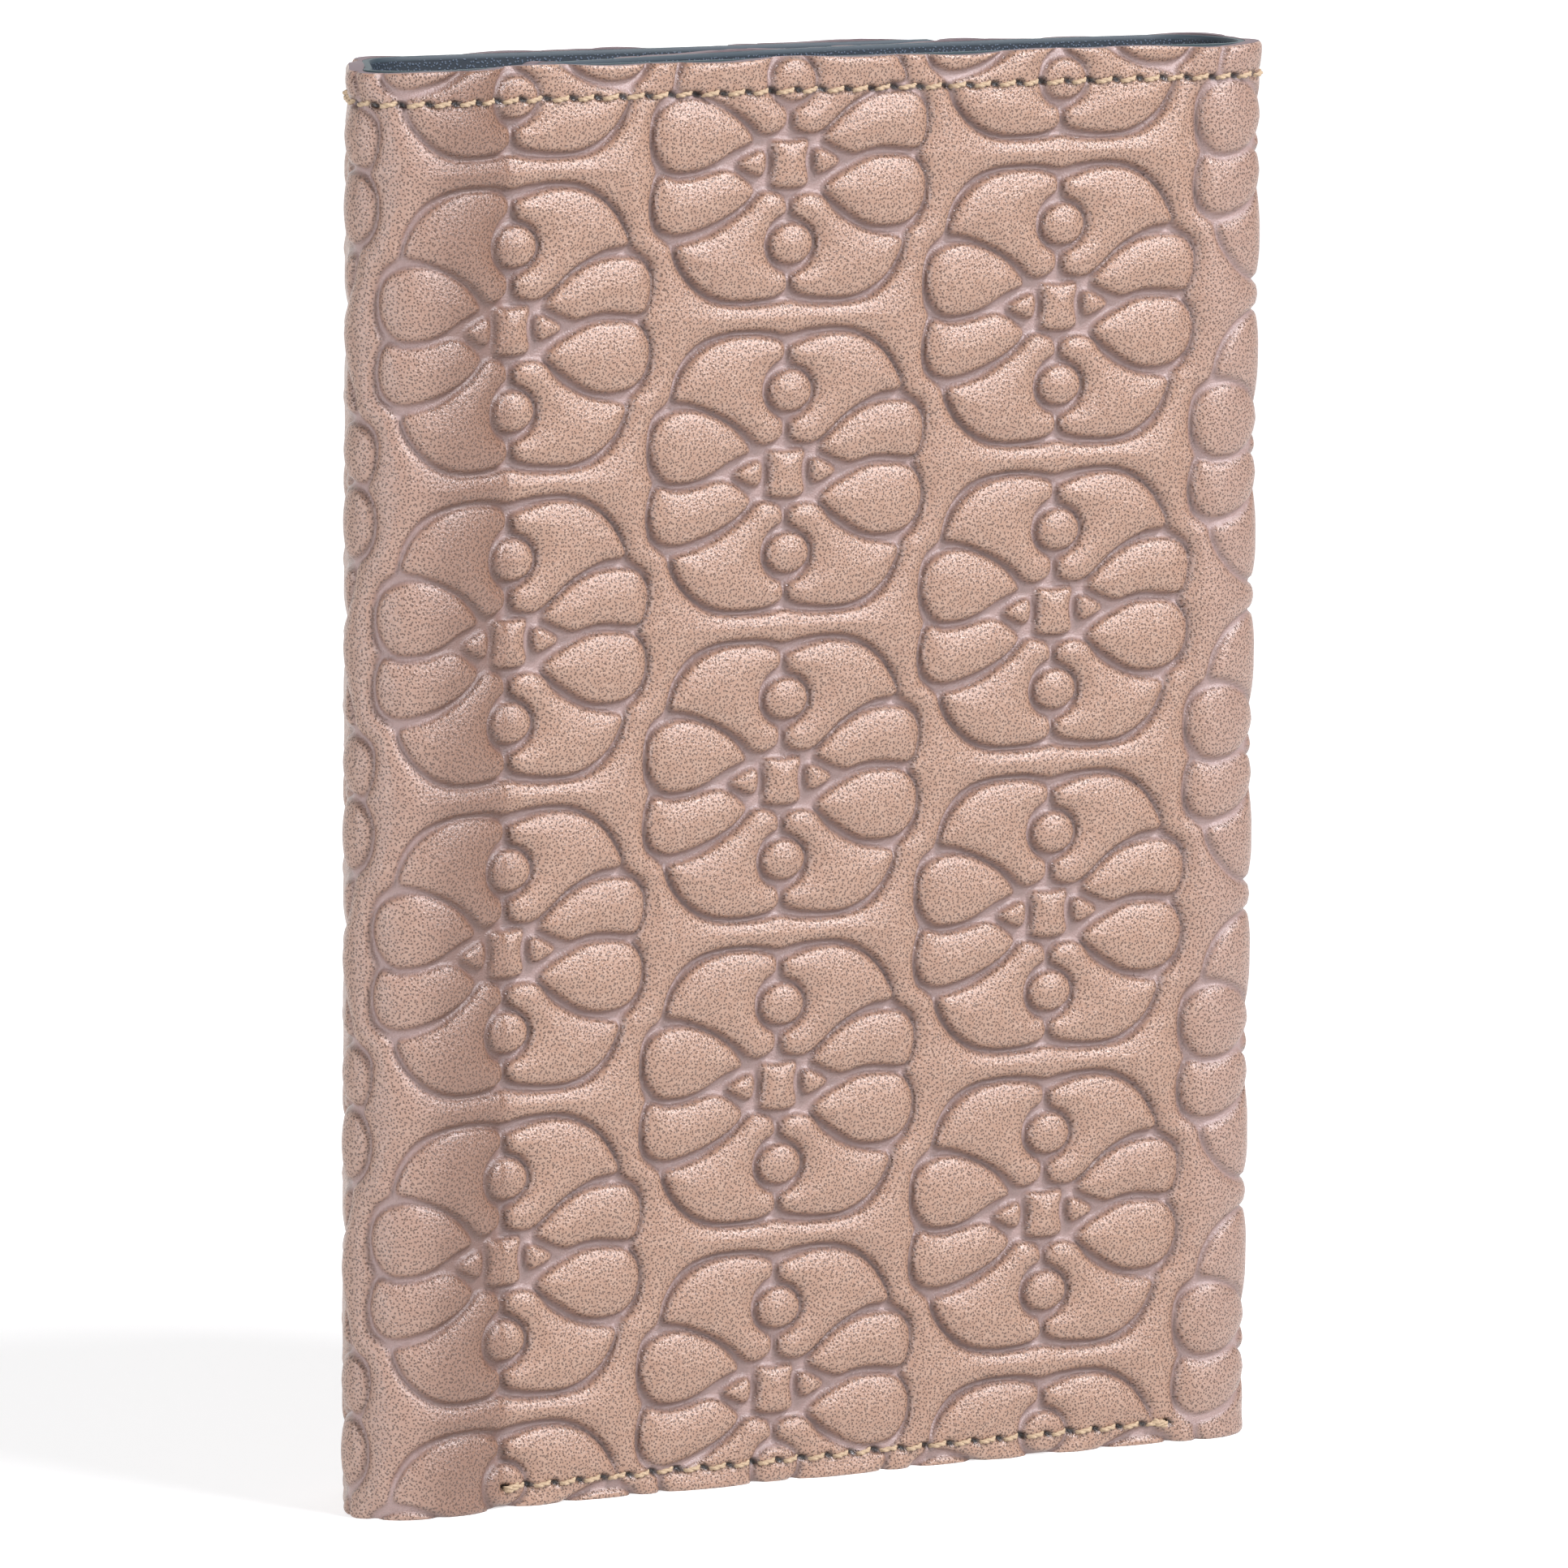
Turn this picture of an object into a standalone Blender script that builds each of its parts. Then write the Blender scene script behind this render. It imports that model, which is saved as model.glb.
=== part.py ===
"""Leather notebook cover, folded in three and standing on its bottom edge.

Seen from above it is one long strip: back flap, left fold, front panel, right fold, inner flap.
Each stretch is a leather layer outside and a lining layer inside, standing upright along Z.
"""

import math

import bpy
from mathutils import Vector

MM = 0.001

# Heights, along Z
COVER_HEIGHT = 140.0
SLEEVE_LOW = 0.8
FRONT_SLEEVE_TOP = 112.0
BACK_SLEEVE_TOP = 84.0
TOP_SEAM = 137.1
BOTTOM_SEAM = 2.4

# Layers, as depths inward from the outer leather surface
LEATHER = (0.0, 1.3)
LINING = (1.45, 2.15)
SLEEVE = (2.3, 2.9)

# Edges, seams and gaps
THREAD_RADIUS = 0.3
THREAD_CLEARANCE = 0.15
THREAD_SIDES = 6
JOINT_GAP = 0.3
SEAM_INSET = 2.4
SEAM_END_GAP = 0.6
TOP_SEAM_END_GAP = 0.6
CORNER_RADIUS = 3.0
CORNER_STEPS = 5
CURVE_STEPS = 2
SLEEVE_INSET = 1.0
BACK_SLEEVE_FROM_FOLD = 11.5

# The strip seen from above, in travel order, with the lining on the left of the travel.
# The front panel's outer surface lies along Y 0 and starts at X 0.
BACK_FLAP = [(56.7, 19.0), (3.0, 19.0), (-1.0, 19.0), (-4.8, 18.7), (-8.0, 17.4)]
LEFT_FOLD_BACK = [(-8.0, 17.4), (-10.2, 15.0), (-12.1, 11.0), (-14.0, 6.8), (-15.6, 3.4)]
LEFT_FOLD_FRONT = [(-15.6, 3.4), (-14.3, 0.8), (-11.5, -1.1), (-7.5, -1.7), (-3.0, -0.9), (0.0, 0.0)]
FRONT_PANEL = [(0.0, 0.0), (74.5, 0.0)]
RIGHT_FOLD = [
    (74.5, 0.0),
    (77.3, -0.5),
    (80.3, -0.2),
    (83.0, 1.2),
    (84.6, 3.8),
    (85.1, 7.0),
    (84.5, 10.6),
    (82.3, 13.8),
    (79.0, 15.4),
    (76.0, 15.6),
]
INNER_FLAP = [(76.0, 15.6), (64.0, 15.5), (52.0, 15.0), (35.0, 13.0), (19.0, 9.6), (3.0, 5.9)]

STRETCHES = {
    "back_flap": BACK_FLAP,
    "left_fold_back": LEFT_FOLD_BACK,
    "left_fold_front": LEFT_FOLD_FRONT,
    "front": FRONT_PANEL,
    "right_fold": RIGHT_FOLD,
    "inner_flap": INNER_FLAP,
}

# Stretches that bend on smoothly from the one before them, or into the one after them
SMOOTH_START = ("left_fold_back", "left_fold_front", "inner_flap")
SMOOTH_END = ("back_flap", "left_fold_back", "right_fold")

# The joint axis each stretch turns about is the point where it meets the stretch that carries it.
PIVOTS = {
    "back_flap": LEFT_FOLD_BACK[0],
    "left_fold_back": LEFT_FOLD_FRONT[0],
    "left_fold_front": FRONT_PANEL[0],
    "front": (0.0, 0.0),
    "right_fold": RIGHT_FOLD[0],
    "inner_flap": INNER_FLAP[0],
}

LEATHER_COLOUR = (0.52, 0.33, 0.23, 1.0)
LINING_COLOUR = (0.05, 0.08, 0.095, 1.0)
SLEEVE_COLOUR = (0.04, 0.065, 0.075, 1.0)
THREAD_COLOUR = (0.42, 0.32, 0.2, 1.0)


def clear_scene():
    for obj in list(bpy.data.objects):
        bpy.data.objects.remove(obj)


def curve_through(points, before, after, steps):
    """A smooth polyline through the points, bending on into the points before and after it.

    A stretch of two points stays straight.
    """
    if len(points) < 3:
        return [Vector(p) for p in points]
    knots = [Vector(p) for p in points]
    first = Vector(before) if before else 2 * knots[0] - knots[1]
    last = Vector(after) if after else 2 * knots[-1] - knots[-2]
    ends = [first] + knots + [last]
    headings = []
    for i in range(1, len(ends) - 1):
        arriving = (ends[i] - ends[i - 1]).normalized()
        leaving = (ends[i + 1] - ends[i]).normalized()
        headings.append((arriving + leaving).normalized())
    path = []
    for i in range(len(knots) - 1):
        here, there = knots[i], knots[i + 1]
        pull = (there - here).length
        for k in range(steps):
            t = k / steps
            start = here * (2 * t**3 - 3 * t**2 + 1)
            end = there * (3 * t**2 - 2 * t**3)
            start_pull = headings[i] * pull * (t**3 - 2 * t**2 + t)
            end_pull = headings[i + 1] * pull * (t**3 - t**2)
            path.append(start + end + start_pull + end_pull)
    path.append(knots[-1])
    return path


def left_normal(a, b):
    along = (b - a).normalized()
    return Vector((-along.y, along.x))


def mitres(path):
    """For each point, the step that moves both of its segments inward by one."""
    result = []
    for i, point in enumerate(path):
        sides = []
        if i > 0:
            sides.append(left_normal(path[i - 1], point))
        if i < len(path) - 1:
            sides.append(left_normal(point, path[i + 1]))
        mean = sum(sides, Vector((0.0, 0.0))).normalized()
        result.append(mean / mean.dot(sides[0]))
    return result


def whole_strip():
    """Every stretch as (points, mitres), with neighbours sharing the mitre at their joint."""
    runs = {}
    names = list(STRETCHES)
    for i, name in enumerate(names):
        before = STRETCHES[names[i - 1]][-2] if name in SMOOTH_START else None
        after = STRETCHES[names[i + 1]][1] if name in SMOOTH_END else None
        runs[name] = curve_through(STRETCHES[name], before, after, CURVE_STEPS)
    path = []
    spans = {}
    for name, run in runs.items():
        start = max(len(path) - 1, 0)
        path += run if not path else run[1:]
        spans[name] = (start, len(path))
    steps = mitres(path)
    return {name: (path[a:b], steps[a:b]) for name, (a, b) in spans.items()}


def trimmed(run, at_start, at_end):
    """The run with its ends moved in by these distances along the path."""
    points, steps = [list(part) for part in run]
    for cut in (at_start, at_end):
        while (points[1] - points[0]).length <= cut:
            cut -= (points[1] - points[0]).length
            points.pop(0)
            steps.pop(0)
        if cut > 0:
            share = cut / (points[1] - points[0]).length
            points[0] = points[0].lerp(points[1], share)
            if cut > JOINT_GAP:
                steps[0] = steps[0].lerp(steps[1], share)
            cut = 0
        points.reverse()
        steps.reverse()
    return points, steps


def left_turned(step, a, b):
    """The plain normal of segment a-b, on the side that step points to."""
    normal = left_normal(a, b)
    return normal if normal.dot(step) > 0 else -normal


def with_corner_columns(run, at_start):
    """Adds points near one free end, close enough together to draw its rounded corners."""
    points, steps = [list(part) for part in run]
    if not at_start:
        points.reverse()
        steps.reverse()
    end, away = points[0], (points[1] - points[0]).normalized()
    plain = left_turned(steps[0], points[0], points[1])
    extra = []
    for k in range(1, CORNER_STEPS + 1):
        angle = math.pi / 2 * k / CORNER_STEPS
        extra.append(end + away * CORNER_RADIUS * (1 - math.cos(angle)))
    reach = CORNER_RADIUS + 0.5
    rest = [i for i, p in enumerate(points) if (p - end).length > reach]
    points = [end] + extra + [points[i] for i in rest]
    steps = [plain] * (1 + len(extra)) + [steps[i] for i in rest]
    if not at_start:
        points.reverse()
        steps.reverse()
    return points, steps


def corner_drop(distance):
    """How far a rounded corner lies inside the edge at this distance from the free end."""
    inside = max(CORNER_RADIUS - distance, 0.0)
    return CORNER_RADIUS - math.sqrt(max(CORNER_RADIUS**2 - inside**2, 0.0))


def material_of(name, colour, roughness):
    made = bpy.data.materials.new(name)
    made.use_nodes = True
    shader = made.node_tree.nodes["Principled BSDF"]
    shader.inputs["Base Color"].default_value = colour
    shader.inputs["Roughness"].default_value = roughness
    return made


def add_object(name, vertices, faces, colour, roughness, pivot, smooth=False):
    """A mesh whose origin is on the joint axis that it turns about."""
    origin = Vector((pivot[0], pivot[1], 0.0)) * MM
    mesh = bpy.data.meshes.new(name)
    mesh.from_pydata([Vector(v) * MM - origin for v in vertices], [], faces)
    mesh.materials.append(material_of(name, colour, roughness))
    for polygon in mesh.polygons:
        polygon.use_smooth = smooth
    obj = bpy.data.objects.new(name, mesh)
    obj.location = origin
    bpy.context.scene.collection.objects.link(obj)
    return obj


def ring_faces(rings, size):
    """Faces of a closed tube through rings of equal size, with a cap at each end."""
    faces = []
    for r in range(rings - 1):
        for k in range(size):
            after = (k + 1) % size
            faces.append((r * size + k, r * size + after, (r + 1) * size + after, (r + 1) * size + k))
    last = (rings - 1) * size
    faces.append(tuple(range(size - 1, -1, -1)))
    faces.append(tuple(range(last, last + size)))
    return faces


def add_band(name, run, layer, low, high, colour, roughness, pivot, free_end=None):
    """One layer of a stretch: an upright band between two depths and two heights."""
    points, steps = run
    if free_end:
        points, steps = with_corner_columns(run, free_end == "start")
    tip = points[0] if free_end == "start" else points[-1]
    vertices = []
    for point, step in zip(points, steps):
        drop = corner_drop((point - tip).length) if free_end else 0.0
        outer = point + step * layer[0]
        inner = point + step * layer[1]
        vertices.append((outer.x, outer.y, low + drop))
        vertices.append((outer.x, outer.y, high - drop))
        vertices.append((inner.x, inner.y, high - drop))
        vertices.append((inner.x, inner.y, low + drop))
    faces = ring_faces(len(points), 4)
    return add_object(name, vertices, faces, colour, roughness, pivot)


def add_level_thread(name, run, height, pivot):
    """A thread lying along the leather's outer surface at one height."""
    reach = THREAD_CLEARANCE + THREAD_RADIUS
    vertices = []
    for point, step in zip(*run):
        normal = step.normalized()
        centre = point - normal * reach
        for k in range(THREAD_SIDES):
            angle = 2 * math.pi * k / THREAD_SIDES
            side = centre - normal * THREAD_RADIUS * math.cos(angle)
            vertices.append((side.x, side.y, height + THREAD_RADIUS * math.sin(angle)))
    faces = ring_faces(len(run[0]), THREAD_SIDES)
    return add_object(name, vertices, faces, THREAD_COLOUR, 0.8, pivot, smooth=True)


def add_upright_thread(name, run, at_start, pivot):
    """A thread running up a flap beside its free edge."""
    points, steps = trimmed(run, SEAM_INSET, 0) if at_start else trimmed(run, 0, SEAM_INSET)
    index = 0 if at_start else -1
    neighbour = points[1] if at_start else points[-2]
    outward = -left_turned(steps[index], points[index], neighbour)
    centre = points[index] + outward * (THREAD_CLEARANCE + THREAD_RADIUS)
    vertices = []
    for height in (BOTTOM_SEAM + 2 * SEAM_END_GAP, TOP_SEAM - 2 * SEAM_END_GAP):
        for k in range(THREAD_SIDES):
            angle = 2 * math.pi * k / THREAD_SIDES
            x = centre.x + THREAD_RADIUS * math.cos(angle)
            y = centre.y + THREAD_RADIUS * math.sin(angle)
            vertices.append((x, y, height))
    faces = ring_faces(2, THREAD_SIDES)
    return add_object(name, vertices, faces, THREAD_COLOUR, 0.8, pivot, smooth=True)


def add_layers(name, run, free_end):
    pivot = PIVOTS[name]
    cut = JOINT_GAP / 2
    start = 0.0 if free_end == "start" else cut
    end = 0.0 if free_end == "end" else cut
    body = trimmed(run, start, end)
    add_band(name + "_leather", body, LEATHER, 0.0, COVER_HEIGHT, LEATHER_COLOUR, 0.5, pivot, free_end)
    add_band(name + "_lining", body, LINING, 0.0, COVER_HEIGHT, LINING_COLOUR, 0.6, pivot, free_end)


def add_top_thread(name, run, free_end):
    start = SEAM_INSET if free_end == "start" else TOP_SEAM_END_GAP
    end = SEAM_INSET if free_end == "end" else TOP_SEAM_END_GAP
    add_level_thread(name + "_top_thread", trimmed(run, start, end), TOP_SEAM, PIVOTS[name])


def add_flap_seams(name, run, free_end):
    at_start = free_end == "start"
    ends = (SEAM_INSET, SEAM_INSET)
    add_level_thread(name + "_bottom_thread", trimmed(run, *ends), BOTTOM_SEAM, PIVOTS[name])
    add_upright_thread(name + "_edge_thread", run, at_start, PIVOTS[name])


def turn_outward(obj):
    """Makes the faces point out of a closed mesh."""
    volume = 0.0
    mesh = obj.data
    for face in mesh.polygons:
        corners = [mesh.vertices[i].co for i in face.vertices]
        for i in range(1, len(corners) - 1):
            volume += corners[0].dot(corners[i].cross(corners[i + 1]))
    if volume < 0:
        mesh.flip_normals()


def centre_on_origin():
    """Moves everything so that the middle of the base is at the origin, and returns the move."""
    bpy.context.view_layer.update()
    corners = []
    for obj in bpy.context.scene.objects:
        corners += [obj.matrix_world @ vertex.co for vertex in obj.data.vertices]
    middle = Vector((0.0, 0.0, 0.0))
    for axis in (0, 1):
        values = [corner[axis] for corner in corners]
        middle[axis] = (min(values) + max(values)) / 2
    middle[2] = min(corner[2] for corner in corners)
    for obj in bpy.context.scene.objects:
        obj.location -= middle
    return middle


def build():
    clear_scene()
    runs = whole_strip()
    free_ends = {"back_flap": "start", "inner_flap": "end"}
    for name, run in runs.items():
        free_end = free_ends.get(name)
        add_layers(name, run, free_end)
        add_top_thread(name, run, free_end)
        if free_end:
            add_flap_seams(name, run, free_end)

    front = runs["front"]
    bottom_run = trimmed(front, SEAM_END_GAP, SEAM_END_GAP)
    add_level_thread("front_bottom_thread", bottom_run, BOTTOM_SEAM, PIVOTS["front"])
    sleeve_run = trimmed(front, SLEEVE_INSET, SLEEVE_INSET)
    sleeve_range = (SLEEVE_LOW, FRONT_SLEEVE_TOP)
    add_band("front_sleeve", sleeve_run, SLEEVE, *sleeve_range, SLEEVE_COLOUR, 0.55, PIVOTS["front"])

    back = runs["back_flap"]
    back_run = trimmed(back, SLEEVE_INSET, BACK_SLEEVE_FROM_FOLD)
    back_range = (SLEEVE_LOW, BACK_SLEEVE_TOP)
    back_pivot = PIVOTS["back_flap"]
    add_band("back_flap_sleeve", back_run, SLEEVE, *back_range, SLEEVE_COLOUR, 0.55, back_pivot)

    for obj in bpy.context.scene.objects:
        turn_outward(obj)
    centre_on_origin()


build()
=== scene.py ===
"""Embossed leather notebook cover, folded in three round an empty middle, on a pale floor."""

import math

import bmesh
import bpy
import numpy as np
from mathutils import Matrix, Vector


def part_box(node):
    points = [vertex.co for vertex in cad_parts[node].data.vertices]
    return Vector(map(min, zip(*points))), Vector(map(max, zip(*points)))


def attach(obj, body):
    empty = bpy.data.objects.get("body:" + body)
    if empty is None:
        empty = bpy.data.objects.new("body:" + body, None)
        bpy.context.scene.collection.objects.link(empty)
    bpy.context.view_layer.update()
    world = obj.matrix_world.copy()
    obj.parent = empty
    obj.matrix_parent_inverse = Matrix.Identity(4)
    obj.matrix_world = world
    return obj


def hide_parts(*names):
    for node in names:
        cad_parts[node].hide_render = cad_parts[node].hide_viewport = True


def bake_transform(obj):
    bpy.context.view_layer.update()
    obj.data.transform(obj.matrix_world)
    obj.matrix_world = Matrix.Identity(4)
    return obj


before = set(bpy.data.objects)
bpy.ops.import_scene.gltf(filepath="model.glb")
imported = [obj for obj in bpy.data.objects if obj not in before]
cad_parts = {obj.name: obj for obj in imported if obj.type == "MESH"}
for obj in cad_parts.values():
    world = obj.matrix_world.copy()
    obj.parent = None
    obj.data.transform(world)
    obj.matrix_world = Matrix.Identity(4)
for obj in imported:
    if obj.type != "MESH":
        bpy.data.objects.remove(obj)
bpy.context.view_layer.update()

MM = 0.001

# The cover in plan, in millimetres: its outer face, from the back flap round to the inner flap
BACK_FLAP = [(56.7, 19.0), (3.0, 19.0), (-1.0, 19.0), (-4.8, 18.7), (-8.0, 17.4)]
LEFT_FOLD = [
    (-8.0, 17.4),
    (-10.2, 15.0),
    (-12.1, 11.0),
    (-14.0, 6.8),
    (-15.6, 3.4),
    (-14.3, 0.8),
    (-11.5, -1.1),
    (-7.5, -1.7),
    (-3.0, -0.9),
    (0.0, 0.0),
]
FRONT_PANEL = [(0.0, 0.0), (74.5, 0.0)]
RIGHT_FOLD = [
    (74.5, 0.0),
    (77.3, -0.5),
    (80.3, -0.2),
    (83.0, 1.2),
    (84.6, 3.8),
    (85.1, 7.0),
    (84.5, 10.6),
    (82.3, 13.8),
    (79.0, 15.4),
    (76.0, 15.6),
]
INNER_FLAP = [(76.0, 15.6), (64.0, 15.5), (52.0, 15.0), (35.0, 13.0), (19.0, 9.6), (3.0, 5.9)]

front_low, front_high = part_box("front_leather")
HEIGHT = (front_high.z - front_low.z) / MM
FLOOR_Z = front_low.z / MM
PAST_CREASE = 0.05
ORIGIN_X = front_low.x / MM + PAST_CREASE
ORIGIN_Y = front_low.y / MM

LEATHER_BACK = 1.36
LINING = (1.4, 2.15)
LINING_BAND = 0.45
SLEEVE_ROUND = 0.0002
CORNER_RADIUS = 2.2

# The pressed pattern: medallions in columns, every other column half a repeat lower
PITCH = 30.15
ODD_COLUMN_TOP = 10.0
EVEN_COLUMN_TOP = 25.05
PRINT_SKEW = 0.006
MOTIF_CENTRE = (0.3, -0.1)
TILE_STEP = 0.15
RELIEF = 1.55

SEAM_TOP = 136.9
SEAM_BOTTOM = 2.1
SEAM_INSET = 2.4
STITCH = 2.72
THREAD = 0.17


def catmull(points, steps):
    """A smooth closed loop through the points."""
    p = np.array(points, float)
    before, after, beyond = np.roll(p, 1, 0), np.roll(p, -1, 0), np.roll(p, -2, 0)
    loop = []
    for k in range(steps):
        t = k / steps
        loop.append(
            0.5
            * (
                2 * p
                + (after - before) * t
                + (2 * before - 5 * p + 4 * after - beyond) * t**2
                + (3 * p - before - 3 * after + beyond) * t**3
            )
        )
    return np.stack(loop, 1).reshape(-1, 2)


def ball(x, y, rx, ry):
    turn = np.linspace(0, 2 * math.pi, 12, endpoint=False)
    return [(x + rx * math.cos(a), y + ry * math.sin(a)) for a in turn]


PADS = {
    "upper left wing": [
        (-0.9, 12.6), (-3, 13.1), (-6, 13.1), (-8.8, 12.3), (-10.8, 10.8), (-11.9, 9.0), (-12.2, 7.5),
        (-10.5, 7.1), (-8.3, 6.3), (-6.2, 5.3), (-4.4, 4.1), (-3.2, 2.95), (-2.2, 2.7), (-0.9, 3.2),
        (-0.5, 3.9), (-0.6, 4.9), (-1.4, 5.4), (-2.3, 6.3), (-2.75, 7.6), (-2.5, 9.2), (-1.6, 10.4),
        (-0.6, 11.0), (-0.4, 12.0),
    ],
    "upper right wing": [
        (0.5, 12.0), (1.3, 12.4), (4, 13.1), (6.5, 13.1), (8.8, 12.4), (10.6, 11.1), (11.9, 9.3),
        (12.5, 7.6), (10.4, 7.3), (8, 6.3), (6.2, 5.2), (4.6, 3.8), (3.2, 2.8), (2, 2.7), (0.8, 3.1),
        (0.45, 3.9), (0.6, 4.8), (1.6, 5.4), (2.6, 6.3), (3.15, 7.6), (2.9, 9), (2.1, 10.0),
        (0.9, 10.5), (0.5, 11.2),
    ],
    "upper ball": ball(0.35, 7.8, 2.25, 1.95),
    "lower ball": ball(0.25, -8.05, 2.25, 1.9),
    "left upper drop": [
        (-4.1, 2.2), (-5.5, 3.9), (-7.5, 5.2), (-10, 6.1), (-12.2, 6.1), (-14.0, 5.2), (-14.7, 3.6),
        (-14.6, 1.8), (-13.8, 0.3), (-12.5, -0.6), (-10, -0.5), (-8, 0.2), (-6.2, 1.2), (-4.7, 1.8),
    ],
    "left lower leaf": [
        (-14.0, -1.2), (-12.2, -1.6), (-10, -1.4), (-8, -0.9), (-6.9, -0.8), (-5.8, -1.2), (-4.8, -1.9),
        (-4.0, -2.8), (-5.3, -4.2), (-7.5, -5.4), (-10, -6.3), (-12.4, -6.7), (-14.0, -6.0),
        (-14.7, -4.5), (-14.7, -2.8),
    ],
    "right upper leaf": [
        (3.9, 2.2), (5.0, 3.5), (6.8, 4.9), (9, 5.9), (11.5, 6.3), (13.7, 6.0), (14.8, 4.8),
        (15.0, 3.4), (14.7, 1.8), (14.0, 0.9), (12.5, 1.0), (10.5, 1.2), (8.8, 1.0), (7.2, 0.6),
        (5.8, 1.0), (4.6, 1.6),
    ],
    "right lower drop": [
        (4.0, -2.8), (5, -1.8), (7, -0.8), (9, 0.0), (11.5, 0.1), (13.6, -0.3), (14.7, -1.6),
        (14.9, -3.2), (14.4, -5), (13.1, -6.2), (11, -6.6), (8.8, -6.3), (6.8, -5.2), (5.0, -3.9),
    ],
    "square": [
        (-1.8, 1.9), (0, 1.8), (1.9, 1.9), (1.7, 0.5), (1.7, -0.6), (1.9, -2.2), (0.2, -2.6),
        (-1.8, -2.2), (-1.7, -0.5), (-1.7, 0.8),
    ],
    "left tip": [(-5.5, -0.1), (-4.2, 0.7), (-3.0, 1.0), (-2.7, 0), (-3.1, -1.3), (-4.4, -0.9)],
    "right tip": [(3.0, 1.0), (2.8, 0), (3.2, -1.2), (4.3, -0.9), (5.4, -0.2), (4.3, 0.6)],
    "lower left wing": [
        (-2.6, -3.0), (-1.0, -3.4), (-0.5, -4.0), (-0.5, -5.0), (-1.5, -5.5), (-2.4, -6.6), (-2.8, -8.1),
        (-2.4, -9.6), (-1.4, -10.6), (-0.5, -11.0), (-0.3, -12.2), (-1.0, -12.9), (-3, -13.3),
        (-6.3, -13.3), (-8.8, -12.5), (-10.8, -10.9), (-11.9, -9.2), (-12.2, -8.0), (-10.6, -7.6),
        (-8.4, -6.9), (-6.4, -5.8), (-4.6, -4.6), (-3.5, -3.5),
    ],
    "lower right wing": [
        (0.5, -4.0), (1.1, -3.5), (2.4, -3.3), (3.8, -3.8), (5, -5.2), (6.8, -6.4), (9, -7.3),
        (11.3, -7.7), (12.4, -8.1), (12.1, -9.3), (11.0, -11.1), (9.2, -12.5), (6.9, -13.3),
        (4, -13.3), (1.5, -12.9), (0.5, -12.2), (0.5, -11.2), (1.6, -10.6), (2.7, -9.6), (3.1, -8.1),
        (2.7, -6.6), (1.6, -5.7), (0.5, -5.0),
    ],
    "rim": [
        (0, 13.4), (2, 13.8), (5, 14.0), (7.5, 13.7), (9.8, 12.6), (11.6, 10.9), (12.6, 9.2),
        (13.0, 7.7), (13.6, 7.0), (14.8, 6.2), (15.4, 4.9), (15.3, 2.6), (14.7, 0.9), (14.4, 0.2),
        (15.0, -1.0), (15.4, -2.8), (15.1, -5.0), (14.2, -6.5), (13.2, -7.3), (12.9, -8.5),
        (12.3, -10.4), (11, -12.2), (9, -13.6), (6.7, -14.1), (4, -14.2), (1.5, -14.0), (0, -13.7),
        (-2, -14.0), (-5, -14.1), (-8, -13.7), (-10.2, -12.5), (-12, -10.6), (-12.8, -9.1),
        (-13.1, -8.0), (-13.9, -7.3), (-15.0, -6.3), (-15.4, -4.5), (-15.3, -2.7), (-14.9, -1.2),
        (-14.7, -0.6), (-15.2, 0.6), (-15.4, 2.6), (-15.2, 4.6), (-14.5, 6.2), (-13.2, 7.2),
        (-12.8, 8.4), (-12.3, 10.0), (-10.9, 12.0), (-9, 13.2), (-6.5, 13.8), (-3.5, 13.9), (-1.5, 13.7),
    ],
}


def motif_edges():
    """Every outline of the medallions that reach into one repeat, as pairs of points."""
    edges = []
    for points in PADS.values():
        loop = catmull(points, 3) - np.array(MOTIF_CENTRE)
        pairs = np.stack([loop, np.roll(loop, -1, 0)], 1)
        for column in (-1, 0, 1):
            for row in (-1.5, -1, -0.5, 0, 0.5, 1, 1.5):
                if (column == 0) == (row == int(row)):
                    edges.append(pairs + np.array([column * PITCH, row * PITCH]))
    edges = np.concatenate(edges)
    return edges[np.abs(edges[:, :, 1]).min(1) < PITCH / 2 + 4]


def pattern_tile():
    """Distance to the nearest outline over one repeat: above 0 on a pad, below 0 in a groove."""
    count = int(round(PITCH / TILE_STEP)) + 1
    line = np.linspace(-PITCH / 2, PITCH / 2, count)
    u, v = np.meshgrid(line, line, indexing="ij")
    nearest = np.full(u.shape, 1e9)
    crossings = np.zeros(u.shape, int)
    for (ax, ay), (bx, by) in motif_edges():
        dx, dy = bx - ax, by - ay
        t = np.clip(((u - ax) * dx + (v - ay) * dy) / (dx * dx + dy * dy + 1e-12), 0, 1)
        nearest = np.minimum(nearest, (u - ax - t * dx) ** 2 + (v - ay - t * dy) ** 2)
        if (ay > by) != (by > ay):
            spans = (ay > v) != (by > v)
            crossings += spans & (u < ax + (v - ay) * dx / (dy if dy else 1e-12))
    distance = np.sqrt(nearest)
    return np.where(crossings % 2 == 0, distance, -distance)


TILE = pattern_tile()


def pattern_at(s, z):
    """The tile's distance at length s along the cover and height z."""
    s = s - PRINT_SKEW * (z - HEIGHT / 2)
    column = np.round(s / PITCH)
    u = s - column * PITCH
    first = np.where(column % 2 == 0, EVEN_COLUMN_TOP, ODD_COLUMN_TOP)
    down = HEIGHT - z - first
    v = -(down - PITCH * np.round(down / PITCH))
    at_u = np.clip((u + PITCH / 2) / PITCH * (len(TILE) - 1), 0, len(TILE) - 1.001)
    at_v = np.clip((v + PITCH / 2) / PITCH * (len(TILE) - 1), 0, len(TILE) - 1.001)
    iu, iv = at_u.astype(int), at_v.astype(int)
    fu, fv = at_u - iu, at_v - iv
    low = TILE[iu, iv] * (1 - fu) + TILE[iu + 1, iv] * fu
    high = TILE[iu, iv + 1] * (1 - fu) + TILE[iu + 1, iv + 1] * fu
    return low * (1 - fv) + high * fv


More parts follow.
